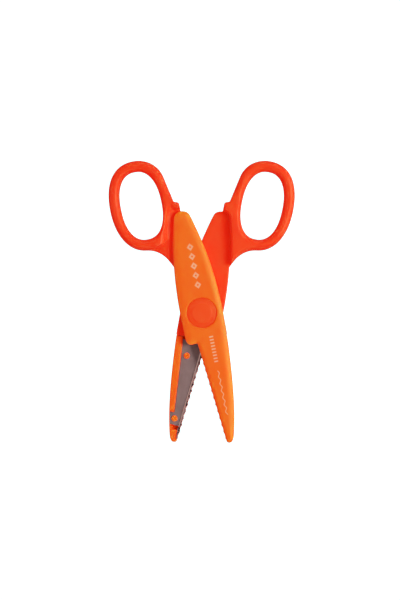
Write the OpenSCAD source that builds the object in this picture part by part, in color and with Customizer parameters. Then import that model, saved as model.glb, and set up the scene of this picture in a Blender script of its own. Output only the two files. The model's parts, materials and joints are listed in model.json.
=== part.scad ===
// Decorative edge scissors for paper, lying flat and part open.
// Two identical moulded halves turn on one steel rivet. Each half is a handle moulding with a
// thin core that runs to the tip, a cover plate over it, and a wavy steel blade held by pegs.
// Every piece is drawn for the closed upper half, with the pivot at the origin, the finger loop
// at -X, the tip at -Y, the cutting plane at z = 0 and the outer face at +Z. The modules
// upper() and lower() then turn it into place, with the lower outer face at z = 0.

/* [Overall] */
// Angle between the two halves as drawn, in degrees
opening = 23.2; // [4:0.2:60]
// Thickness over both outer faces
thickness = 9; // [8.6:0.2:12]
// Gap between the inner faces of the two halves
face_gap = 0.1; // [0.06:0.01:0.2]

/* [Body] */
// Width of the leaf-shaped body at the pivot
body_w = 20.5; // [19:0.1:22]
// Distance from the pivot to the rounded end between the handles
tail_len = 49.7; // [48:0.1:50.5]
// Distance from the pivot to the tip
nose_len = 63.5; // [62:0.1:66]
// Thickness of the cover plate
cover_t = 1.5; // [1.3:0.1:1.8]
// Height of the cover's rim below the cutting plane
rim_drop = 0.3; // [0.2:0.05:0.5]

/* [Finger loop] */
// Width of the finger hole
hole_w = 19.6; // [18:0.1:20.5]
// Length of the finger hole
hole_len = 32.8; // [30:0.1:33.5]
// Width of the ring around the hole
ring_w = 5.3; // [4.5:0.1:6]
// Height of the web between the ring and the cover, above the cutting plane
web_top = 1.2; // [0.8:0.1:3]
// Exponent of the hole's rounded outline, where 2 is an ellipse
hole_power = 2.3; // [2:0.1:3]
// Clearance round the other half's tail when the scissors are closed
nest_gap = 0.6; // [0.3:0.1:1]
// Clearance of each closing stop from the line where they meet
stop_gap = 0.05; // [0.03:0.01:0.2]

/* [Steel blade] */
// Thickness of the sheet steel
steel_t = 0.7; // [0.5:0.05:0.8]
// Depth of the blade's flat part below the cutting plane
blade_sink = 1.15; // [1:0.05:1.2]
// Width of the raised strip along the cutting edge
land_w = 1.5; // [1.3:0.1:1.8]
// Length of one wave of the cutting edge
wave_pitch = 3.4; // [2:0.1:5]
// Depth of the waves, from crest to trough
wave_depth = 0.45; // [0.2:0.05:0.7]
// Distance of the cover's edge behind the wave crests
edge_back = 0.25; // [0.1:0.05:0.4]
// Radius of a blade peg's head
peg_head_r = 1.45; // [1.2:0.05:1.6]
// Radius of a blade peg's shank
peg_r = 1; // [0.8:0.05:1.1]

/* [Pivot] */
// Radius of the rivet's shank
rivet_r = 2.5; // [2:0.1:3]
// Radius of the rivet's factory head
rivet_head_r = 4.4; // [4:0.1:4.5]
// Radial clearance of the upper half on the rivet
running_gap = 0.05; // [0.02:0.01:0.1]
// Radius of the round pivot cap
cap_r = 7; // [6.6:0.1:7.4]
// Radius of the cap's flat middle
cap_flat_r = 4.75; // [4:0.05:5.5]
// Fall from the cap's flat middle to its rim
cap_bevel = 0.5; // [0.3:0.1:0.8]

/* [Hidden] */
$fn = 64;

handle_colour = [0.94, 0.27, 0.13];
cover_colour = [0.96, 0.44, 0.14];
steel_colour = [0.6, 0.58, 0.56];
nylon_colour = [0.9, 0.89, 0.85];

// Levels above the cutting plane
inner_face = face_gap / 2;
outer_face = thickness / 2;
plate_top = outer_face - cover_t;
steel_top = blade_sink + steel_t;
peg_top = plate_top + 0.3;

// Pockets for the pivot's parts in both faces of the plate
bore_r = rivet_r + running_gap;
washer_r = 6;
washer_depth = 0.42;
head_room_r = rivet_head_r + 0.2;
head_room_floor = plate_top - 1.6;
skirt_in_r = 5.2;
skirt_out_r = 6.2;
skirt_depth = 0.8;
slack = 0.05;

// The stack on the pivot, as heights above the surface that the scissors lie on
lower_head_z = outer_face - head_room_floor;
washer_low = outer_face - inner_face - washer_depth;
washer_high = outer_face + inner_face + washer_depth - 0.02;
upper_floor_z = outer_face + head_room_floor;
wave_z = upper_floor_z + 0.02;
flat_z = wave_z + 0.42;
formed_head_z = flat_z + 0.4;
formed_head_r = 3.6;

// Where the handle moulding's plate stops and the steel begins
plate_end_y = -12.8;
blade_start_y = plate_end_y - slack;

// The crests of the cutting edge lie on the line from the heel to the tip
cut_heel = [-5.1, -14];
cut_tip = [-0.9, -62.7];
cut_dir = (cut_tip - cut_heel) / norm(cut_tip - cut_heel);
cut_side = [-cut_dir[1], cut_dir[0]];
cut_len = norm(cut_tip - cut_heel);
waves = floor(cut_len / wave_pitch);

// Width of the cover's wall under the raised strip, and size of the strip's riser
wall_w = land_w - 0.6;
riser_w = 0.5;
riser_len = cut_len - 7.6;

// The flat side wall of the trough that holds the steel, and the features near the tip
rim_heel = [6.4, blade_start_y];
rim_nose = [3.4, -49.4];
blade_end_y = -55.4;
pocket_end_y = -57.3;
peg_places = [[2.9, -21.6], [2.65, -52.3]];
stud_places = [[0, 18], [0, 38]];
stud_r = 1.2;
stud_depth = 1.2;

hole_centre = [-18.1, 56.2];
ring_left = hole_centre[0] - hole_w / 2 - ring_w;
ring_top = hole_centre[1] + hole_len / 2 + ring_w;
ring_bottom = hole_centre[1] - hole_len / 2 - ring_w;

// Points along one cubic Bezier curve, without its last point
function bezier(p, n) = [
    for (i = [0:n - 1])
    let (t = i / n)
    pow(1 - t, 3) * p[0] + 3 * t * pow(1 - t, 2) * p[1] + 3 * t * t * (1 - t) * p[2] + pow(t, 3) * p[3]
];

// Points reflected in the Y axis and taken in the opposite order
function reflected(points) = [
    for (i = [len(points) - 1:-1:0])
    [-points[i][0], points[i][1]]
];

// The point a distance along the cutting line and a distance in from it
function from_cut(along, inward) = cut_heel + along * cut_dir + inward * cut_side;

// The right-hand edge of the body from its rounded tail to the widest place
function tail_side(grow) = concat(
    bezier([
        [0, tail_len + grow],
        [1.9, tail_len + grow],
        [0.33 * body_w / 2 + grow, tail_len - 0.9 + grow],
        [0.386 * body_w / 2 + grow, tail_len - 2.7]
    ], 8),
    bezier([
        [0.386 * body_w / 2 + grow, tail_len - 2.7],
        [0.85 * body_w / 2 + grow, tail_len - 20.2],
        [1.01 * body_w / 2 + grow, tail_len - 34.7],
        [body_w / 2 + grow, -2]
    ], 20)
);

// The right-hand edge from the widest place round the tip to the cutting edge
nose_side = concat(
    bezier([
        [body_w / 2, -2],
        [0.95 * body_w / 2, -18],
        [0.77 * body_w / 2, 19.2 - nose_len],
        [3.5, 3.7 - nose_len]
    ], 22),
    bezier([
        [3.5, 3.7 - nose_len],
        [3, 1.6 - nose_len],
        [2.1, -nose_len],
        [0.9, -nose_len]
    ], 8),
    bezier([
        [0.9, -nose_len],
        [0.1, -nose_len],
        from_cut(cut_len + 0.4, edge_back),
        from_cut(cut_len - 0.2, edge_back)
    ], 6)
);

// The edge from the notch beside the blade round the heel to the left side of the body
heel_side = concat(
    [from_cut(cut_len - 0.2, edge_back), from_cut(0.1, edge_back)],
    bezier([[-4.9, -13.8], [-6, -13.6], [-7, -14.1], [-8, -13.9]], 6),
    bezier([[-8, -13.9], [-9.3, -13.7], [-body_w / 2, -12.6], [-body_w / 2, -10.5]], 10),
    [[-body_w / 2, -10.5]]
);

// The rounded end of the body with straight sides down to the plate's end
function tail_outline(grow) = concat(
    tail_side(grow),
    [[body_w / 2 + grow, -2], [body_w / 2 - 0.25, plate_end_y], [-body_w / 2 + 0.3, plate_end_y]],
    reflected(concat(tail_side(grow), [[body_w / 2 + grow, -2]]))
);

leaf_outline = concat(tail_side(0), nose_side, heel_side, reflected(tail_side(0)));

// A rounded outline round the finger hole, a margin out from the hole's edge
function hole_outline(margin) = [
    for (i = [0:71])
    let (a = i * 5, p = 2 / hole_power)
    hole_centre + [
        (hole_w / 2 + margin) * sign(cos(a)) * pow(abs(cos(a)), p),
        (hole_len / 2 + margin) * sign(sin(a)) * pow(abs(sin(a)), p)
    ]
];

// Outline of the finger loop, its web and its closing stop. It is closed inside the body.
loop_outline = concat(
    [[-stop_gap, tail_len - 6], [-stop_gap, 53.7], [-0.5, 54.3], [-2.4, 54.9]],
    bezier([
        [-4.9, 67.8],
        [-6.2, 74.1],
        [-11.7, ring_top],
        [hole_centre[0] + 0.1, ring_top]
    ], 16),
    bezier([
        [hole_centre[0] + 0.1, ring_top],
        [ring_left + 5.5, ring_top],
        [ring_left, ring_top - 7.9],
        [ring_left, hole_centre[1]]
    ], 22),
    bezier([
        [ring_left, hole_centre[1]],
        [ring_left, ring_bottom + 10.3],
        [ring_left + 4.7, ring_bottom + 1.2],
        [-20, ring_bottom + 0.1]
    ], 20),
    bezier([[-20, ring_bottom + 0.1], [-15, ring_bottom - 0.6], [-11, 30.5], [-9, 24.5]], 14),
    [[-9, 24.5], [-5, 24.5]]
);

// The trough between the cover's rim and its wall along the cutting edge
module trough(margin) {
    polygon([
        from_cut(-4, wall_w + margin),
        [rim_heel[0] - margin, blade_start_y],
        [rim_nose[0] - margin, rim_nose[1]],
        [rim_nose[0] - margin, pocket_end_y + margin],
        from_cut(cut_len - 5, wall_w + margin)
    ]);
}

// A slab between two levels
module slab(low, high) {
    translate([0, 0, low])
        linear_extrude(high - low)
            children();
}

module loop_area() {
    difference() {
        polygon(loop_outline);
        polygon(hole_outline(0));
    }
}

// The parts of the loop that reach the outer face: the ring and the closing stop
module crest_area() {
    difference() {
        intersection() {
            loop_area();
            union() {
                polygon(hole_outline(ring_w));
                stop_area();
            }
        }
        polygon(tail_outline(slack));
    }
}

// The closing stop beside the cover's rounded end
module stop_area() {
    translate([-4, tail_len - 1])
        square([4, 7]);
}

module handle_core() {
    intersection() {
        slab(steel_top, plate_top)
            trough(slack);
        translate([-body_w, pocket_end_y, 0])
            cube([2 * body_w, -pocket_end_y, outer_face]);
    }
}

module pivot_pockets() {
    cylinder(h = thickness, r = bore_r, center = true);
    translate([0, 0, head_room_floor])
        cylinder(h = thickness, r = head_room_r);
    translate([0, 0, -1])
        cylinder(h = 1 + inner_face + washer_depth, r = washer_r + slack);
    translate([0, 0, plate_top - skirt_depth - slack])
        difference() {
            cylinder(h = thickness, r = skirt_out_r + slack);
            cylinder(h = thickness, r = skirt_in_r - slack);
        }
}

module handle() {
    difference() {
        union() {
            slab(-outer_face, inner_face)
                difference() {
                    loop_area();
                    polygon(tail_outline(nest_gap));
                }
            slab(inner_face, web_top)
                loop_area();
            slab(inner_face, plate_top)
                polygon(tail_outline(0));
            slab(web_top, outer_face)
                crest_area();
            translate([0, plate_end_y, 0])
                handle_root();
            handle_core();
        }
        pivot_pockets();
        for (p = stud_places)
            translate([p[0], p[1], plate_top - stud_depth - slack])
                cylinder(h = thickness, r = stud_r + slack);
        for (p = peg_places)
            translate([p[0], p[1], 0])
                cylinder(h = outer_face, r = peg_r + slack);
    }
}

// The short step that joins the plate to the thin core under the steel
module handle_root() {
    translate([-3, -0.2, steel_top])
        cube([9, 1, plate_top - steel_top]);
}

module blade_cover() {
    difference() {
        union() {
            slab(plate_top, outer_face)
                polygon(leaf_outline);
            slab(rim_drop, plate_top)
                intersection() {
                    polygon(leaf_outline);
                    translate([-body_w, -nose_len - 1])
                        square([2 * body_w, nose_len + 1 + blade_start_y]);
                }
            for (p = stud_places)
                translate([p[0], p[1], plate_top - stud_depth])
                    cylinder(h = stud_depth + slack, r = stud_r);
        }
        slab(0, plate_top)
            trough(0);
        blade_room();
        translate([0, 0, plate_top - 1])
            cylinder(h = thickness, r = cap_r + 0.15);
        for (p = peg_places)
            translate([p[0], p[1], 0])
                cylinder(h = peg_top + 0.1, r = peg_r + slack);
    }
}

// Space in the cover for the steel's raised strip and for its flat ear near the tip
module blade_room() {
    slab(-slack, inner_face + steel_t)
        polygon([
            from_cut(-1.4, -1),
            from_cut(-1.4, land_w + slack),
            from_cut(cut_len + 2, land_w + slack),
            from_cut(cut_len + 2, -1)
        ]);
    slab(-slack, steel_top)
        polygon([
            [0, rim_nose[1]],
            [body_w, rim_nose[1]],
            [body_w, blade_end_y],
            [0, blade_end_y]
        ]);
}

wavy_edge = [
    for (i = [0:waves * 8])
    from_cut(i * wave_pitch / 8, wave_depth * (1 - cos(i * 45)) / 2)
];

module blade() {
    difference() {
        union() {
            slab(inner_face, inner_face + steel_t)
                polygon(concat(wavy_edge, [
                    from_cut(waves * wave_pitch + 0.2, 0.3),
                    from_cut(waves * wave_pitch + 0.2, wall_w),
                    from_cut(waves * wave_pitch - 4, land_w),
                    from_cut(0.8, land_w),
                    from_cut(0, wall_w)
                ]));
            slab(inner_face + steel_t / 2, blade_sink + steel_t / 2)
                polygon([
                    from_cut(1, land_w - riser_w),
                    from_cut(1, land_w - slack),
                    from_cut(riser_len, land_w - slack),
                    from_cut(riser_len, land_w - riser_w)
                ]);
            slab(blade_sink, steel_top)
                polygon([
                    from_cut(0, wall_w + slack),
                    [rim_heel[0] - 0.1, cut_heel[1]],
                    [rim_nose[0] - slack, rim_nose[1] - slack],
                    [5.4, rim_nose[1] - slack],
                    [4.3, blade_end_y + slack],
                    from_cut(riser_len + 0.5, wall_w + slack)
                ]);
        }
        for (p = peg_places)
            translate([p[0], p[1], 0])
                cylinder(h = outer_face, r = peg_r + slack);
    }
}

module blade_pegs() {
    for (p = peg_places)
        translate([p[0], p[1], 0])
            rotate_extrude()
                polygon([
                    [0, peg_top],
                    [peg_r, peg_top],
                    [peg_r, blade_sink],
                    [peg_head_r, blade_sink],
                    [peg_head_r, blade_sink - 0.4],
                    [peg_head_r - 0.35, blade_sink - 0.8],
                    [0.5, blade_sink - 0.8],
                    [0, blade_sink - 0.5]
                ]);
}

module pivot_cap() {
    rotate_extrude()
        polygon([
            [0, plate_top],
            [skirt_in_r, plate_top],
            [skirt_in_r, plate_top - skirt_depth],
            [skirt_out_r, plate_top - skirt_depth],
            [skirt_out_r, plate_top],
            [cap_r, plate_top],
            [cap_r, outer_face - cap_bevel],
            [cap_flat_r, outer_face],
            [0, outer_face]
        ]);
}

module ring(low, high, inner_r, outer_r) {
    translate([0, 0, low])
        difference() {
            cylinder(h = high - low, r = outer_r);
            translate([0, 0, -1])
                cylinder(h = high - low + 2, r = inner_r);
        }
}

module pivot_rivet() {
    color(steel_colour)
        rotate_extrude()
            polygon([
                [0, cover_t + slack],
                [rivet_head_r - 0.3, cover_t + slack],
                [rivet_head_r, cover_t + 0.4],
                [rivet_head_r, lower_head_z],
                [rivet_r, lower_head_z],
                [rivet_r, formed_head_z],
                [formed_head_r, formed_head_z],
                [formed_head_r, formed_head_z + 0.3],
                [formed_head_r - 0.5, formed_head_z + 0.65],
                [0, formed_head_z + 0.65]
            ]);
}

module friction_washer() {
    color(nylon_colour)
        ring(washer_low, washer_high, bore_r, washer_r);
}

module wave_washer() {
    color(steel_colour)
        ring(wave_z, wave_z + 0.4, rivet_r + slack, head_room_r - 0.3);
}

module flat_washer() {
    color(steel_colour)
        ring(flat_z, flat_z + 0.4, rivet_r + slack, head_room_r - 0.3);
}

module upper() {
    translate([0, 0, outer_face])
        rotate(opening / 2)
            children();
}

module lower() {
    translate([0, 0, outer_face])
        rotate(-opening / 2)
            rotate([0, 180, 0])
                children();
}

module back_handle() { color(handle_colour) lower() handle(); }
module back_blade_cover() { color(cover_colour) lower() blade_cover(); }
module back_blade() { color(steel_colour) lower() blade(); }
module back_blade_pegs() { color(cover_colour) lower() blade_pegs(); }
module back_pivot_cap() { color(handle_colour) lower() pivot_cap(); }
module front_handle() { color(handle_colour) upper() handle(); }
module front_blade_cover() { color(cover_colour) upper() blade_cover(); }
module front_blade() { color(steel_colour) upper() blade(); }
module front_blade_pegs() { color(cover_colour) upper() blade_pegs(); }
module front_pivot_cap() { color(handle_colour) upper() pivot_cap(); }

back_handle();
back_blade_cover();
back_blade();
back_blade_pegs();
back_pivot_cap();
pivot_rivet();
friction_washer();
wave_washer();
flat_washer();
front_handle();
front_blade_cover();
front_blade();
front_blade_pegs();
front_pivot_cap();
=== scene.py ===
"""The looks of the decorative edge scissors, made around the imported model.

Both halves are the same mouldings, so each shape is made once, in millimetres, for the closed
upper half: pivot at the origin, finger loop at -X, tip at -Y, cutting plane at z = 0, outer face
up. It is then placed twice. The plastic and sheet shapes start from sections through the CAD
solids, so their outlines are the CAD's own, and the mould's rounding is carved into them.
"""
import json
import math
from collections import namedtuple

import bpy
import numpy as np
from mathutils import Matrix, Vector


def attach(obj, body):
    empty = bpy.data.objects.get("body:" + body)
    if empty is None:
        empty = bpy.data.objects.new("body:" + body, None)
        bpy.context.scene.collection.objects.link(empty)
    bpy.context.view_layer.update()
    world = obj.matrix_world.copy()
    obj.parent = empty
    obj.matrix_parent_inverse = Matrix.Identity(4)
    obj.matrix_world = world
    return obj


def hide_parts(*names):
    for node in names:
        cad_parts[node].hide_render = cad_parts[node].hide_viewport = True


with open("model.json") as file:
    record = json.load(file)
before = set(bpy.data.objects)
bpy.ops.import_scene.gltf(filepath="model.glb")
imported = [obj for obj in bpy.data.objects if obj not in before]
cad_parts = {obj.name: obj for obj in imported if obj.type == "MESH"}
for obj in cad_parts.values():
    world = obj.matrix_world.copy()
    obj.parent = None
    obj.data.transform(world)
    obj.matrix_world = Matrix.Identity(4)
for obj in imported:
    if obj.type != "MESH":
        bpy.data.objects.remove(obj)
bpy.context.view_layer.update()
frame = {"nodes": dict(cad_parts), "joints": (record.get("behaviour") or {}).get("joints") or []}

MM = 0.001
JOINT = frame["joints"][0]
PIVOT = Vector(JOINT["pos_m"])
# The angle between the halves at rest: the joint's lower limit is where they are closed
OPENING = math.radians(-JOINT["range_deg"][0])
HALVES = ("front", "back")
COARSE = 1.0


# ---------------------------------------------------------------- placement and CAD sections

def placement(half):
    """Takes the closed upper half, in metres, to a half's place in the row frame."""
    if half == "front":
        turn = Matrix.Rotation(OPENING / 2, 4, "Z")
    else:
        turn = Matrix.Rotation(-OPENING / 2, 4, "Z") @ Matrix.Rotation(math.pi, 4, "Y")
    return Matrix.Translation(PIVOT) @ turn


def closed_triangles(node):
    """The triangles of one of the front half's CAD nodes, closed, in millimetres."""
    mesh = frame["nodes"][node].data
    mesh.calc_loop_triangles()
    points = np.array([v.co for v in mesh.vertices])
    corners = np.array([t.vertices for t in mesh.loop_triangles])
    back = np.array(placement("front").inverted())
    points = points @ back[:3, :3].T + back[:3, 3]
    return points[corners] / MM


def section(triangles, height):
    """The segments in which triangles meet a level."""
    above = triangles[:, :, 2] > height
    cut = above.sum(1) % 3 > 0
    triangles, above = triangles[cut], above[cut]
    lone_is_above = above.sum(1) == 1
    lone = np.argmax(above == lone_is_above[:, None], axis=1)
    rows = np.arange(len(triangles))
    apex = triangles[rows, lone]
    ends = []
    for step in (1, 2):
        other = triangles[rows, (lone + step) % 3]
        share = (height - apex[:, 2]) / (other[:, 2] - apex[:, 2])
        ends.append(apex[:, :2] + share[:, None] * (other - apex)[:, :2])
    return np.stack(ends, axis=1)


def flat_distance(segments, x, y):
    """Signed distance to an outline over a flat grid, negative inside the outline."""
    start = segments[:, 0].astype(np.float32)
    along = (segments[:, 1] - segments[:, 0]).astype(np.float32)
    length2 = np.maximum((along ** 2).sum(1), 1e-9)
    rise = np.where(along[:, 1] == 0, 1e-9, along[:, 1])
    dy = y[:, None].astype(np.float32) - start[:, 1]
    spans = (dy >= 0) != (dy - along[:, 1] >= 0)
    reach = start[:, 0] + along[:, 0] * dy / rise
    distance = np.empty((len(x), len(y)), np.float32)
    for i, px in enumerate(x):
        dx = np.float32(px) - start[:, 0]
        share = np.clip((dx * along[:, 0] + dy * along[:, 1]) / length2, 0, 1)
        gap2 = (dx - share * along[:, 0]) ** 2 + (dy - share * along[:, 1]) ** 2
        inside = (spans & (reach > px)).sum(1) % 2 == 1
        distance[i] = np.sqrt(gap2.min(1)) * np.where(inside, -1, 1)
    return distance


# ---------------------------------------------------------------- fields and their surfaces

# A distance beyond every solid, in millimetres
FAR = 99


def smoothstep(low, high, value):
    """Rises smoothly from 0 at low to 1 at high. It falls where low is above high."""
    t = np.clip((value - low) / (high - low), 0, 1)
    return t * t * (3 - 2 * t)


def rounded_cut(a, b, radius):
    """Where two fields overlap, with a round edge of that radius."""
    corner = np.hypot(np.maximum(a + radius, 0), np.maximum(b + radius, 0))
    return np.minimum(np.maximum(a, b), -radius) + corner


class Block:
    """A grid of points round a CAD node, and the CAD solid as a field on it.

    A field is a distance from a surface in millimetres, negative inside.
    """

    def __init__(self, node, step, margin=1.2):
        self.triangles = closed_triangles(node)
        low = self.triangles.min((0, 1)) - margin
        high = self.triangles.max((0, 1)) + margin
        self.step = step * COARSE
        self.axes = [np.arange(a, b + self.step, self.step) for a, b in zip(low, high)]
        self.z = self.axes[2].astype(np.float32)

    def outline(self, height):
        """Signed distance to the solid's section at a height, over the flat grid."""
        return flat_distance(section(self.triangles, height), self.axes[0], self.axes[1])

    def levels(self, least=0.04):
        """The heights of the solid's flat faces."""
        heights = np.unique(np.round(self.triangles[:, :, 2], 3))
        return heights[np.insert(np.diff(heights) > least, 0, True)]

    def solid(self, edge=0.15):
        """The solid as a stack of flat layers. Where two layers meet, a third bridges them."""
        levels = self.levels()
        layers = [self.outline((a + b) / 2) for a, b in zip(levels, levels[1:])]
        pieces = list(zip(layers, levels, levels[1:]))
        for i in range(len(layers) - 1):
            pieces.append((np.maximum(layers[i], layers[i + 1]), levels[i], levels[i + 2]))
        field = np.full([len(a) for a in self.axes], FAR, np.float32)
        for layer, low, high in pieces:
            between = np.maximum(low - self.z, self.z - high)
            radius = min(edge, (high - low) / 2)
            field = np.minimum(field, rounded_cut(layer[:, :, None], between, radius))
        return field

    def soften(self, field, width):
        """Rounds a field's edges by about a width."""
        reach = max(1, int(round(3 * width / self.step)))
        weights = np.exp(-0.5 * (np.arange(-reach, reach + 1) * self.step / width) ** 2)
        weights /= weights.sum()
        for axis in range(3):
            padded = np.pad(field, [(reach, reach) if a == axis else (0, 0) for a in range(3)],
                            mode="edge")
            size = field.shape[axis]
            field = sum(w * np.take(padded, range(i, i + size), axis) for i, w in enumerate(weights))
        return field

    def surface(self, field):
        """Points and four-sided faces of a field's zero surface, one point per crossed cell."""
        shape = np.array(field.shape) - 1
        sums = np.zeros((4, int(shape.prod())))
        faces = []
        for axis in range(3):
            after = [slice(None)] * 3
            before = [slice(None)] * 3
            after[axis], before[axis] = slice(1, None), slice(None, -1)
            first, last = field[tuple(before)], field[tuple(after)]
            spots = np.argwhere((first < 0) != (last < 0))
            a = first[tuple(spots.T)]
            b = last[tuple(spots.T)]
            crossing = spots.astype(float)
            crossing[:, axis] += a / (a - b)
            side, other = np.eye(3, dtype=int)[[(axis + 1) % 3, (axis + 2) % 3]]
            cells = []
            for shift in (side + other, other, 0 * side, side):
                cell = np.ravel_multi_index((spots - shift).T, shape)
                for row, values in enumerate([*crossing.T, np.ones(len(cell))]):
                    sums[row] += np.bincount(cell, values, sums.shape[1])
                cells.append(cell)
            quads = np.stack(cells, axis=1)
            faces.append(np.where((a < 0)[:, None], quads, quads[:, ::-1]))
        used = np.flatnonzero(sums[3])
        number = np.zeros(sums.shape[1], int)
        number[used] = np.arange(len(used))
        points = (sums[:3, used] / sums[3, used]).T
        points = self.settle(points, field)
        origin = np.array([a[0] for a in self.axes])
        return origin + points * self.step, number[np.concatenate(faces)]

    def read_flat(self, values, points):
        """The values of a flat grid at the places of some points."""
        steps = (points - [a[0] for a in self.axes]) / self.step
        steps[:, 2] = 0
        return sample(np.stack([values, values], axis=2), steps)

    def settle(self, points, field, rounds=4, most=0.6):
        """Moves points, in grid steps, onto the zero surface of a field."""
        slopes = np.gradient(field)
        start = points
        for _ in range(rounds):
            value = sample(field, points)
            slope = np.stack([sample(s, points) for s in slopes], axis=1)
            move = -value[:, None] * slope / np.maximum((slope ** 2).sum(1), 1e-4)[:, None]
            points = start + np.clip(points + move - start, -most, most)
        return points


def sample(field, points):
    """A field's values between its grid points."""
    top = np.array(field.shape) - 2
    cell = np.clip(points.astype(int), 0, top)
    share = points - cell
    total = 0
    for corner in np.ndindex(2, 2, 2):
        weight = np.prod(np.where(corner, share, 1 - share), axis=1)
        total = total + weight * field[tuple((cell + corner).T)]
    return total


# ---------------------------------------------------------------- shapes of the pieces

# A surface in millimetres, and the numbers that it carries at each of its points
Shape = namedtuple("Shape", "points faces numbers", defaults=({},))

# How far inside a flat face a section is taken, to show that face's outline
SKIN = 0.1
# How far in from its edge the finger ring is rounded
RING_REACH = 2.65
# The exponent of that rounding, where 2 is an ellipse
RING_POWER = 2.3
# The web's height above the cutting plane
WEB_HEIGHT = 1.0
# The distances from the cover at which the web starts to rise, and reaches the ring's height
WEB_RISE = (1.2, 6.2)
# The closing stop's middle, from the cover's rounded end
STOP_OFFSET = (-1.3, 4.2)
# The distances from that middle at which the stop has fallen to the web, and starts to fall
STOP_FALL = (3.5, 2.3)
# The distance from that middle within which edges stay nearly sharp
STOP_RADIUS = 3.6


def handle_shape():
    """The handle moulding: an oval ring that slopes down to the low web beside the cover."""
    block = Block("front_handle", 0.3)
    cover = closed_triangles("front_blade_cover")
    outer = cover[:, :, 2].max()
    x, y = block.axes[:2]
    leaf = flat_distance(section(cover, outer - SKIN), x, y)
    stop = np.hypot(x[:, None] - STOP_OFFSET[0],
                    y[None, :] - cover[:, :, 1].max() - STOP_OFFSET[1])

    inside_web = 0.6
    depth = -block.outline(inside_web)
    # The rounding is narrow beside the cover and on the stop, and widest on the ring
    reach = np.minimum(0.3 + 0.45 * leaf, 0.5 + 0.6 * np.maximum(stop - STOP_RADIUS, 0))
    reach = np.clip(reach, 0.35, RING_REACH)[:, :, None]
    inward = np.maximum(1 - depth[:, :, None] / reach, 0)
    height = np.abs(block.z / outer)
    oval = (inward ** RING_POWER + height ** RING_POWER) ** (1 / RING_POWER) - 1

    rise = np.maximum(smoothstep(*WEB_RISE, leaf), smoothstep(*STOP_FALL, stop))
    valley = WEB_HEIGHT + (outer - WEB_HEIGHT) * rise[:, :, None]
    above_valley = np.maximum(valley - block.z, -leaf[:, :, None])

    field = np.maximum(block.solid(edge=0.3), oval * reach)
    field = np.maximum(field, -above_valley)
    return Shape(*block.surface(block.soften(field, 0.28)))


def cover_shape():
    """The cover plate: a flat middle that falls away in a wide round shoulder.

    It carries "edge", a painted highlight on the rounded outer edge where the light falls on it.
    The painted highlight is brightest on the right, at the end between the handles and on the heel
    beside the blade.
    """
    block = Block("front_blade_cover", 0.28)
    outer = block.triangles[:, :, 2].max()
    x, y = block.axes[:2]
    leaf_depth = -flat_distance(outer_loop(section(block.triangles, outer - SKIN)), x, y)
    # The shoulder is narrower along the cutting edge
    cutting_side = smoothstep(3.2, 1.8, x)[:, None] * smoothstep(-12, -15, y)[None, :]
    width = 4.0 - 1.8 * cutting_side
    fall = 1.05 * np.maximum(1 - leaf_depth / width, 0) ** 2.2
    top = (outer - fall)[:, :, None]
    # A height above the slope, times this, is about a distance from it
    lean = 0.93
    field = np.maximum(block.solid(edge=0.2), (block.z - top) * lean)
    points, faces = block.surface(block.soften(field, 0.2))

    # Painted highlight: the edge is made paler on the right, towards the key light, at the end
    # between the handles and on the heel
    right = 0.15 + 0.65 * smoothstep(-2, 3, x)[:, None]
    heel = smoothstep(-10, -13, y) * smoothstep(-4, -6, x)[:, None]
    ends = np.maximum(smoothstep(42, 48, y), heel)
    edge = smoothstep(3.4, 0.2, leaf_depth) * np.maximum(right, ends)
    edge = block.read_flat(edge, points) * smoothstep(2, 3.5, points[:, 2])
    return Shape(points, faces, {"edge": edge})


def outer_loop(segments, hole=8):
    """Leaves out the segments round the pivot's hole."""
    middle = segments.mean(1)
    return segments[np.hypot(middle[:, 0], middle[:, 1]) > hole]


def blade_shape():
    """The blade: sheet steel pressed up along the wavy cutting edge.

    It carries "rise", which goes from 0 on the strip along the edge to 1 on the flat plate.
    """
    block = Block("front_blade", 0.14)
    low_side, strip_top, plate_under, high_side = block.levels()
    thickness = strip_top - low_side
    strip = block.outline(low_side + SKIN)
    riser = block.outline((strip_top + plate_under) / 2)
    plate = block.outline(high_side - SKIN)
    rise = smoothstep(-0.6, 0.6, strip - plate)
    middle = low_side + thickness / 2 + rise * (high_side - low_side - thickness)
    plan = np.minimum(np.minimum(strip, plate), riser)
    # A height above the fold, times this, is about a distance from it
    lean = 0.85
    across = (np.abs(block.z - middle[:, :, None]) - thickness / 2) * lean
    points, faces = block.surface(rounded_cut(plan[:, :, None], across, 0.06))
    return Shape(points, faces, {"rise": block.read_flat(rise, points)})


def lathe(profile, centre=(0, 0), segments=96):
    """Points and faces turned from a profile of (radius, height) whose ends are on the axis."""
    angles = np.linspace(0, 2 * math.pi, segments, endpoint=False)
    points = [(centre[0], centre[1], profile[0][1])]
    for r, h in profile[1:-1]:
        points += [(centre[0] + r * math.cos(a), centre[1] + r * math.sin(a), h) for a in angles]
    points.append((centre[0], centre[1], profile[-1][1]))
    faces = []
    last = len(points) - 1
    for i in range(segments):
        j = (i + 1) % segments
        faces.append((0, 1 + j, 1 + i))
        for ring in range(len(profile) - 3):
            base = 1 + ring * segments
            faces.append((base + i, base + j, base + segments + j, base + segments + i))
        base = 1 + (len(profile) - 3) * segments
        faces.append((base + i, base + j, last))
    return points, faces


def arc(centre, radius, start, end, count=6):
    """Points (radius, height) along an arc, with its angles in degrees."""
    return [(centre[0] + radius * math.cos(math.radians(a)),
             centre[1] + radius * math.sin(math.radians(a)))
            for a in np.linspace(start, end, count)]


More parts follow.
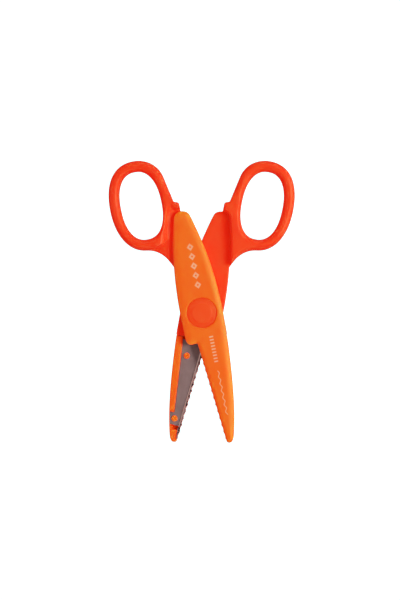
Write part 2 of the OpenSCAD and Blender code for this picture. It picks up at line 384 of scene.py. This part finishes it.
def cap_shape():
    """The pivot cap: a crowned flat disc inside a bevelled ring, with a skirt below."""
    corners = closed_triangles("front_pivot_cap").reshape(-1, 3)
    radii = np.hypot(corners[:, 0], corners[:, 1])
    top, bottom, rim = corners[:, 2].max(), corners[:, 2].min(), radii.max()
    skirt = corners[corners[:, 2] < bottom + 0.05]
    skirt_radii = np.hypot(skirt[:, 0], skirt[:, 1])
    skirt_in, skirt_out = skirt_radii.min(), skirt_radii.max()
    # The level of the handle's plate, and the radius of the disc
    seat = top - 1.5
    flat = 4.75
    profile = [(0, seat), (skirt_in - 0.2, seat), (skirt_in, seat - 0.2), (skirt_in, bottom + 0.1),
               (skirt_in + 0.1, bottom), (skirt_out - 0.1, bottom), (skirt_out, bottom + 0.1),
               (skirt_out, seat - 0.02), (rim - 0.1, seat), (rim, seat + 0.1)]
    profile += arc((rim - 0.3, top - 0.75), 0.3, 0, 80)
    profile += [(flat + 0.75, top - 0.34), (flat + 0.42, top - 0.3), (flat + 0.3, top - 0.24)]
    profile += arc((flat - 0.3, top - 0.35), 0.33, 20, 90)
    profile += [(flat * 0.75, top - 0.005), (flat * 0.4, top), (0, top)]
    return Shape(*lathe(profile))


def peg_shape():
    """The two blade pegs: flat heads with a dimple, on shanks through the steel."""
    corners = closed_triangles("front_blade_pegs").reshape(-1, 3)
    split = corners[:, 1].mean()
    points, faces = [], []
    for side in (corners[:, 1] < split, corners[:, 1] >= split):
        peg = corners[side]
        low, high = peg.min(0), peg.max(0)
        centre = (low + high)[:2] / 2
        head = (high - low)[0] / 2
        shank = np.hypot(*(peg[peg[:, 2] > high[2] - 0.05][:, :2] - centre).T).max()
        seat = peg[np.hypot(*(peg[:, :2] - centre).T) > head - 0.05][:, 2].max()
        drop = seat - low[2]
        profile = [(0, low[2] + 0.45), (0.22, low[2] + 0.42), (0.42, low[2] + 0.2)]
        profile += arc((0.68, low[2] + 0.2), 0.2, 200, 270, 4)
        profile += [(head * 0.72, low[2] + 0.06), (head * 0.9, low[2] + 0.22),
                    (head, low[2] + 0.5 * drop), (head, seat - 0.08), (head - 0.08, seat),
                    (shank, seat), (shank, high[2] - 0.1), (shank - 0.1, high[2]), (0, high[2])]
        peg_points, peg_faces = lathe(profile, centre, 48)
        faces += [tuple(i + len(points) for i in face) for face in peg_faces]
        points += peg_points
    return Shape(points, faces)


def wave_washer_shape():
    """A spring washer of thin sheet, bent into three waves within the height that CAD leaves."""
    corners = closed_triangles("wave_washer").reshape(-1, 3)
    radii = np.hypot(corners[:, 0], corners[:, 1])
    low, high = corners[:, 2].min(), corners[:, 2].max()
    sheet = 0.2
    swing = (high - low - sheet) / 2
    ring = [(radii.min(), -1), (radii.max(), -1), (radii.max(), 1), (radii.min(), 1)]
    count = 144
    points = []
    for a in np.linspace(0, 2 * math.pi, count, endpoint=False):
        middle = (low + high) / 2 + swing * math.cos(3 * a)
        points += [(r * math.cos(a), r * math.sin(a), middle + s * sheet / 2) for r, s in ring]
    faces = []
    for i in range(count):
        j = (i + 1) % count
        for k in range(4):
            m = (k + 1) % 4
            faces.append((4 * i + k, 4 * j + k, 4 * j + m, 4 * i + m))
    return Shape(points, faces)


# ---------------------------------------------------------------- materials

class Nodes:
    """Short calls for building a material's nodes."""

    def __init__(self, name):
        self.material = bpy.data.materials.new(name)
        self.material.use_nodes = True
        self.tree = self.material.node_tree
        self.shader = self.tree.nodes["Principled BSDF"]

    def new(self, kind, **inputs):
        """A node with its inputs set or linked. A socket's spaces are written as underscores."""
        node = self.tree.nodes.new(kind)
        for name, value in inputs.items():
            self.put(node, name.replace("_", " "), value)
        return node

    def put(self, node, socket, value):
        """Links a node's input to a value that is a socket, or sets it."""
        if isinstance(value, bpy.types.NodeSocket):
            self.tree.links.new(value, node.inputs[socket])
        else:
            node.inputs[socket].default_value = value

    def math(self, kind, a, b=0.0, c=0.0):
        """The result of one operation on sockets or numbers."""
        node = self.tree.nodes.new("ShaderNodeMath")
        node.operation = kind
        for i, value in enumerate((a, b, c)):
            self.put(node, i, value)
        return node.outputs[0]

    def object_place(self):
        """A point's place in the row frame, in metres."""
        return self.tree.nodes.new("ShaderNodeTexCoord").outputs["Object"]

    def closed_place(self, stretch=(1, 1, 1)):
        """A point's place on the closed half, in millimetres, with each axis stretched."""
        place = self.tree.nodes.new("ShaderNodeAttribute")
        place.attribute_name = "closed"
        scaled = self.tree.nodes.new("ShaderNodeVectorMath")
        scaled.operation = "MULTIPLY"
        self.tree.links.new(place.outputs["Vector"], scaled.inputs[0])
        scaled.inputs[1].default_value = stretch
        return scaled.outputs[0]

    def attribute(self, label):
        """A number that the piece carries at each of its points."""
        node = self.tree.nodes.new("ShaderNodeAttribute")
        node.attribute_name = label
        return node.outputs["Fac"]

    def noise(self, place, scale, detail=3.0, roughness=0.5):
        """Smooth noise that mostly lies from 0.3 to 0.7."""
        node = self.new("ShaderNodeTexNoise", Vector=place, Scale=scale, Detail=detail,
                        Roughness=roughness)
        return node.outputs["Fac"]

    def between(self, value, low, high, start=0.3, end=0.7):
        """A value from start to end, spread over low to high."""
        node = self.tree.nodes.new("ShaderNodeMapRange")
        spans = {"From Min": start, "From Max": end, "To Min": low, "To Max": high}
        for name, number in spans.items():
            node.inputs[name].default_value = number
        self.tree.links.new(value, node.inputs["Value"])
        return node.outputs["Result"]

    def blend(self, share, a, b):
        """Colour a where share is 0, colour b where it is 1."""
        node = self.tree.nodes.new("ShaderNodeMix")
        node.data_type = "RGBA"
        self.put(node, "Factor", share)
        for name, value in (("A", a), ("B", b)):
            socket = [s for s in node.inputs if s.name == name and s.type == "RGBA"][0]
            if isinstance(value, bpy.types.NodeSocket):
                self.tree.links.new(value, socket)
            else:
                socket.default_value = value
        return [s for s in node.outputs if s.type == "RGBA"][0]

    def bump(self, height, strength, distance):
        """A normal that is tilted by a height."""
        node = self.new("ShaderNodeBump", Height=height, Strength=strength, Distance=distance)
        return node.outputs["Normal"]

    def finish(self, **inputs):
        """Sets or links the shader's inputs, and gives the finished material."""
        for name, value in inputs.items():
            self.put(self.shader, name.replace("_", " "), value)
        return self.material


def srgb(r, g, b):
    """A colour given as on a screen, 0 to 255, in linear light."""
    def linear(c):
        c /= 255
        return c / 12.92 if c <= 0.04045 else ((c + 0.055) / 1.055) ** 2.4
    return (linear(r), linear(g), linear(b), 1)


def plastic(name, colour, deep, gloss, grain):
    """Moulded plastic: cloudy pigment, flow streaks, a skin of fine grain and a few scuffs.

    The grain is a scale per millimetre, a strength and a height.
    """
    n = Nodes(name)
    place = n.closed_place()
    cloud = n.noise(place, 0.09, 2)
    streaks = n.noise(n.closed_place((0.5, 0.06, 0.5)), 1.0, 3)
    tone = n.blend(n.between(cloud, 0, 1), colour, deep)
    tone = n.blend(n.between(streaks, 0, 0.35, 0.5, 0.8), tone, colour)
    scuffs = n.noise(n.closed_place((2.5, 0.35, 2.5)), 1.0, 4, 0.6)
    roughness = n.between(scuffs, gloss - 0.05, gloss + 0.08, 0.35, 0.75)
    skin = n.noise(place, grain[0], 3, 0.6)
    return n, tone, dict(
        Roughness=roughness, Normal=n.bump(skin, grain[1], grain[2]), IOR=1.52,
        Specular_IOR_Level=0.16, Specular_Tint=(1, 0.55, 0.25, 1),
        Subsurface_Weight=0.6, Subsurface_Radius=(1.0, 0.12, 0.05),
        Subsurface_Scale=3.0 * MM)


def handle_plastic():
    """Glossy red-orange plastic."""
    n, tone, look = plastic("handle_plastic", srgb(250, 50, 19), srgb(246, 44, 19), 0.42,
                            (1.1, 0.12, 0.05 * MM))
    return n.finish(Base_Color=tone, **look)


def cap_plastic():
    """Red-orange plastic with a slightly finer grain than the handles."""
    n, tone, look = plastic("cap_plastic", srgb(248, 56, 19), srgb(245, 53, 19), 0.42,
                            (1.6, 0.1, 0.05 * MM))
    return n.finish(Base_Color=tone, **look)


def cover_plastic(name, printed):
    """Satin orange plastic with a painted highlight on its outer edge, with or without the print."""
    n, tone, look = plastic(name, srgb(250, 79, 18), srgb(248, 75, 18), 0.45,
                            (2.2, 0.07, 0.05 * MM))
    # Painted highlight: a paler orange where the edge attribute says light falls on the rounded edge
    tone = n.blend(n.attribute("edge"), tone, srgb(252, 98, 22))
    if printed:
        tone = n.blend(print_mask(n), tone, srgb(245, 140, 112))
    return n.finish(Base_Color=tone, **look)


def print_mask(n):
    """Pale print on the cover's outer face: a row of diamonds, a short scale and a wavy line."""
    split = n.tree.nodes.new("ShaderNodeSeparateXYZ")
    n.tree.links.new(n.closed_place(), split.inputs[0])
    x, y, z = split.outputs

    def window(value, low, high, soft=0.12):
        """1 where a value is from low to high, 0 outside."""
        rise = n.between(value, 0, 1, low - soft, low + soft)
        fall = n.between(value, 1, 0, high - soft, high + soft)
        return n.math("MULTIPLY", rise, fall)

    def spaced(value, start, pitch):
        """Distance from the nearest of points a pitch apart."""
        shifted = n.math("SUBTRACT", value, start - pitch / 2)
        within = n.math("WRAP", shifted, pitch, 0.0)
        return n.math("ABSOLUTE", n.math("SUBTRACT", within, pitch / 2))

    def off(value, centre):
        """Distance from a centre."""
        return n.math("ABSOLUTE", n.math("SUBTRACT", value, centre))

    # Above the pivot: hollow diamonds, 4.6 mm apart
    diamond = n.math("ADD", off(x, 0.9), n.math("MULTIPLY", spaced(y, 13.5, 4.6), 0.9))
    diamonds = n.math("MULTIPLY", n.between(diamond, 1, 0, 1.5, 1.75), window(y, 11.2, 34.2))
    hollow = n.between(diamond, 0, 1, 0.45, 0.65)
    diamonds = n.math("MULTIPLY", diamonds, hollow)

    # Below the pivot: a scale of ticks, 1.5 mm apart
    tick = n.between(spaced(y, -12.0, 1.5), 1, 0, 0.22, 0.4)
    ticks = n.math("MULTIPLY", tick, window(x, 1.2, 3.1))
    ticks = n.math("MULTIPLY", ticks, window(y, -24.8, -11.2))

    # Towards the tip: the line that the blades cut, with the pitch of their waves
    turns = n.math("MULTIPLY", y, 2 * math.pi / 3.4)
    swing = n.math("MULTIPLY", n.math("SINE", turns), 0.36)
    wave = n.math("ABSOLUTE", n.math("SUBTRACT", n.math("SUBTRACT", x, 2.1), swing))
    waves = n.math("MULTIPLY", n.between(wave, 1, 0, 0.12, 0.3), window(y, -50, -28.5))

    marks = n.math("MAXIMUM", n.math("MAXIMUM", diamonds, ticks), waves)
    worn = n.between(n.noise(n.closed_place(), 2.0, 4, 0.7), 0.55, 0.9)
    outer_face_only = window(z, 3.9, 9)
    return n.math("MULTIPLY", n.math("MULTIPLY", marks, worn), outer_face_only)


def peg_plastic():
    """Orange plastic with the coarser skin of a head formed by heat."""
    n, tone, look = plastic("peg_plastic", srgb(250, 94, 20), srgb(246, 80, 20), 0.42,
                            (2.6, 0.25, 0.06 * MM))
    return n.finish(Base_Color=tone, **look)


def blade_steel():
    """Brushed stainless sheet, with a painted highlight on the fold beside the strip of waves, and
    dark patches of painted shade on that strip.
    """
    n = Nodes("blade_steel")
    fine = n.noise(n.closed_place((9, 0.5, 3)), 1.0, 4, 0.7)
    broad = n.noise(n.closed_place(), 0.22, 3)
    grit = n.noise(n.closed_place(), 5.0, 3, 0.7)
    tone = n.blend(n.between(broad, 0, 1), srgb(150, 130, 127), srgb(138, 117, 114))
    tone = n.blend(n.between(grit, 0, 0.5), tone, srgb(124, 103, 100))
    rise = n.attribute("rise")
    # Painted shade: dark patches on the strip of waves stand in for the shadow in the waves' hollows
    patches = n.noise(n.closed_place((0.3, 0.7, 0)), 1.0, 2)
    on_strip = n.between(rise, 1, 0, 0.05, 0.25)
    wave_shade = n.math("MULTIPLY", on_strip, n.between(patches, 0, 1, 0.48, 0.56))
    tone = n.blend(wave_shade, tone, srgb(46, 36, 34))
    # Painted highlight: a pale band on the fold, where its slope catches the light
    fold_highlight = n.math("MULTIPLY", n.between(rise, 0, 1, 0.1, 0.4), n.between(rise, 1, 0, 0.7, 0.99))
    tone = n.blend(fold_highlight, tone, srgb(236, 226, 214))
    roughness = n.between(fine, 0.34, 0.5)
    brushed = n.math("ADD", n.math("MULTIPLY", fine, 0.6), n.math("MULTIPLY", grit, 0.4))
    return n.finish(Base_Color=tone, Metallic=1.0, Roughness=roughness,
                    Normal=n.bump(brushed, 0.35, 0.03 * MM))


def turned_steel(name, tone_a, tone_b):
    """Turned or stamped steel, with fine rings round the pivot."""
    n = Nodes(name)
    place = n.object_place()
    rings = n.new("ShaderNodeTexWave", Vector=place, Scale=2200.0, Distortion=1.5, Detail=2.0)
    rings.wave_type = "RINGS"
    rings.rings_direction = "Z"
    blotch = n.noise(place, 600.0, 3)
    tone = n.blend(n.between(blotch, 0, 1), tone_a, tone_b)
    roughness = n.between(blotch, 0.28, 0.42)
    return n.finish(Base_Color=tone, Metallic=1.0, Roughness=roughness,
                    Normal=n.bump(rings.outputs["Fac"], 0.15, 0.02 * MM))


def nylon():
    """Natural nylon: milky, slightly mottled and dull."""
    n = Nodes("nylon")
    place = n.object_place()
    mottle = n.noise(place, 900.0, 4)
    tone = n.blend(n.between(mottle, 0, 1), srgb(232, 228, 214), srgb(220, 214, 198))
    return n.finish(Base_Color=tone, Roughness=n.between(mottle, 0.42, 0.55), IOR=1.53,
                    Subsurface_Weight=0.3, Subsurface_Radius=(1.0, 0.8, 0.6),
                    Subsurface_Scale=1.0 * MM, Normal=n.bump(mottle, 0.15, 0.03 * MM))


# ---------------------------------------------------------------- pieces

def add_piece(name, shape, half, node, material):
    """A piece made from a shape of the closed upper half, in place of one CAD node.

    Its points keep their places on the closed half, which the materials use.
    """
    points = np.asarray(shape.points, float)
    place = np.array(placement(half))
    placed = points * MM @ place[:3, :3].T + place[:3, 3]
    faces = [tuple(int(i) for i in face) for face in shape.faces]
    mesh = bpy.data.meshes.new(name)
    mesh.from_pydata(placed.tolist(), [], faces)
    closed = mesh.attributes.new("closed", "FLOAT_VECTOR", "POINT")
    closed.data.foreach_set("vector", points.astype(np.float32).ravel())
    for label, values in shape.numbers.items():
        mesh.attributes.new(label, "FLOAT", "POINT").data.foreach_set("value", values)
    mesh.polygons.foreach_set("use_smooth", [True] * len(mesh.polygons))
    mesh.materials.append(material)
    mesh.update()
    piece = bpy.data.objects.new(name, mesh)
    bpy.context.scene.collection.objects.link(piece)
    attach(piece, half + "_half")
    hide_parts(node)
    return piece


def add_pieces():
    """Both halves' mouldings, blades, pegs and caps, and the washer that springs between them."""
    handle, cover, blade = handle_shape(), cover_shape(), blade_shape()
    cap, pegs = cap_shape(), peg_shape()
    red, button, peg = handle_plastic(), cap_plastic(), peg_plastic()
    covers = {"front": cover_plastic("printed_cover_plastic", True),
              "back": cover_plastic("plain_cover_plastic", False)}
    steel = blade_steel()
    for half in HALVES:
        add_piece(half + "_moulded_handle", handle, half, half + "_handle", red)
        add_piece(half + "_moulded_cover", cover, half, half + "_blade_cover", covers[half])
        add_piece(half + "_wavy_blade", blade, half, half + "_blade", steel)
        add_piece(half + "_peg_heads", pegs, half, half + "_blade_pegs", peg)
        add_piece(half + "_round_cap", cap, half, half + "_pivot_cap", button)
    spring = turned_steel("spring_steel", srgb(150, 146, 142), srgb(128, 124, 120))
    # This washer lies in a pocket of the front half, but stays with the rivet
    washer = add_piece("sprung_washer", wave_washer_shape(), "front", "wave_washer", spring)
    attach(washer, "back_half")


def finish_cad_nodes():
    """The CAD shapes that are right as they are get their own materials."""
    steel = turned_steel("pivot_steel", srgb(178, 174, 170), srgb(160, 156, 152))
    for name, material in (("pivot_rivet", steel), ("flat_washer", steel),
                           ("friction_washer", nylon())):
        node = frame["nodes"][name]
        node.data.materials.clear()
        node.data.materials.append(material)


# ---------------------------------------------------------------- studio

# The level of red light that shows as full red. Green and blue are full at 1.
RED_WHITE = 2.4
# Light that shows as white, which is what the camera sees of the floor and beyond it
SHOWN_WHITE = (RED_WHITE, 1.3, 1.3, 1)


def add_camera():
    """Looks straight down on the scissors, a little above and left of their pivot."""
    camera = bpy.data.cameras.new("camera")
    camera.sensor_fit = "VERTICAL"
    # How far the camera is above the pivot, and how much it sees there from top to bottom
    distance, view_height = 0.75, 0.288
    camera.sensor_height = 36
    camera.lens = camera.sensor_height * distance / view_height
    camera.clip_start, camera.clip_end = 0.01, 20
    eye = bpy.data.objects.new("camera", camera)
    eye.location = PIVOT + Vector((-0.0008, 0.0062, distance))
    bpy.context.scene.collection.objects.link(eye)
    bpy.context.scene.camera = eye


def add_floor():
    """A pale, even floor, big enough to fill every view."""
    n = Nodes("pale_floor")
    place = n.object_place()
    paper = n.noise(place, 30.0, 3)
    tone = n.blend(n.between(paper, 0, 1), (0.06, 0.06, 0.06, 1), (0.057, 0.057, 0.057, 1))
    seen = n.tree.nodes.new("ShaderNodeLightPath").outputs["Is Camera Ray"]
    material = n.finish(Base_Color=tone, Roughness=0.9, Emission_Color=SHOWN_WHITE,
                        Emission_Strength=seen)
    mesh = bpy.data.meshes.new("floor")
    size = 15.0
    mesh.from_pydata([(-size, -size, 0), (size, -size, 0), (size, size, 0), (-size, size, 0)], [],
                     [(0, 1, 2, 3)])
    mesh.materials.append(material)
    floor = bpy.data.objects.new("floor", mesh)
    bpy.context.scene.collection.objects.link(floor)


def add_softbox(name, direction, size, power, distance=1.0):
    """An area light that faces the pivot from a direction."""
    light = bpy.data.lights.new(name, "AREA")
    light.shape = "RECTANGLE"
    light.size, light.size_y = size
    light.energy = power
    lamp = bpy.data.objects.new(name, light)
    towards = Vector(direction).normalized()
    lamp.location = PIVOT + towards * distance
    lamp.rotation_euler = towards.to_track_quat("Z", "Y").to_euler()
    bpy.context.scene.collection.objects.link(lamp)


def add_lights():
    """A key light from the right, and weaker lights on every side."""
    add_softbox("key_right", (1.0, 0.15, 1.0), (0.3, 0.4), 20.5)
    add_softbox("low_right", (1.0, 0.1, 0.28), (0.5, 1.2), 3.5)
    add_softbox("fill_left", (-1.0, 0.1, 0.6), (0.5, 1.0), 3.2)
    add_softbox("strip_top", (0.1, 1.0, 0.5), (1.0, 0.4), 2.8)
    add_softbox("strip_bottom", (-0.1, -1.0, 0.6), (1.0, 0.4), 2.8)


def add_world():
    """Dim light from all round, darkest overhead, with a white backdrop for the camera alone."""
    world = bpy.data.worlds.new("studio")
    bpy.context.scene.world = world
    world.use_nodes = True
    tree = world.node_tree
    direction = tree.nodes.new("ShaderNodeTexCoord").outputs["Generated"]
    split = tree.nodes.new("ShaderNodeSeparateXYZ")
    tree.links.new(direction, split.inputs[0])
    height = tree.nodes.new("ShaderNodeMapRange")
    spans = {"From Min": 0.2, "From Max": 0.95, "To Min": 0.55, "To Max": 0.2}
    for name, number in spans.items():
        height.inputs[name].default_value = number
    tree.links.new(split.outputs["Z"], height.inputs["Value"])
    room = tree.nodes["Background"]
    room.inputs["Color"].default_value = (1, 1, 1, 1)
    tree.links.new(height.outputs["Result"], room.inputs["Strength"])
    backdrop = tree.nodes.new("ShaderNodeBackground")
    backdrop.inputs["Color"].default_value = SHOWN_WHITE
    chosen = tree.nodes.new("ShaderNodeMixShader")
    seen = tree.nodes.new("ShaderNodeLightPath").outputs["Is Camera Ray"]
    for source, target in ((seen, 0), (room.outputs[0], 1), (backdrop.outputs[0], 2)):
        tree.links.new(source, chosen.inputs[target])
    tree.links.new(chosen.outputs[0], tree.nodes["World Output"].inputs["Surface"])


def set_tone():
    """Plain tones, with a long soft shoulder in red so that a bright red keeps its shading."""
    view = bpy.context.scene.view_settings
    view.view_transform = "Standard"
    view.look = "None"
    view.use_curve_mapping = True
    mapping = view.curve_mapping
    mapping.white_level = (RED_WHITE, 1, 1)
    red = mapping.curves[0]
    for light, shown in ((0.5, 0.5), (0.85, 0.75), (1.3, 0.83), (1.95, 0.885)):
        red.points.new(light / RED_WHITE, shown)
    mapping.update()


add_camera()
add_floor()
add_lights()
add_world()
set_tone()
add_pieces()
finish_cad_nodes()
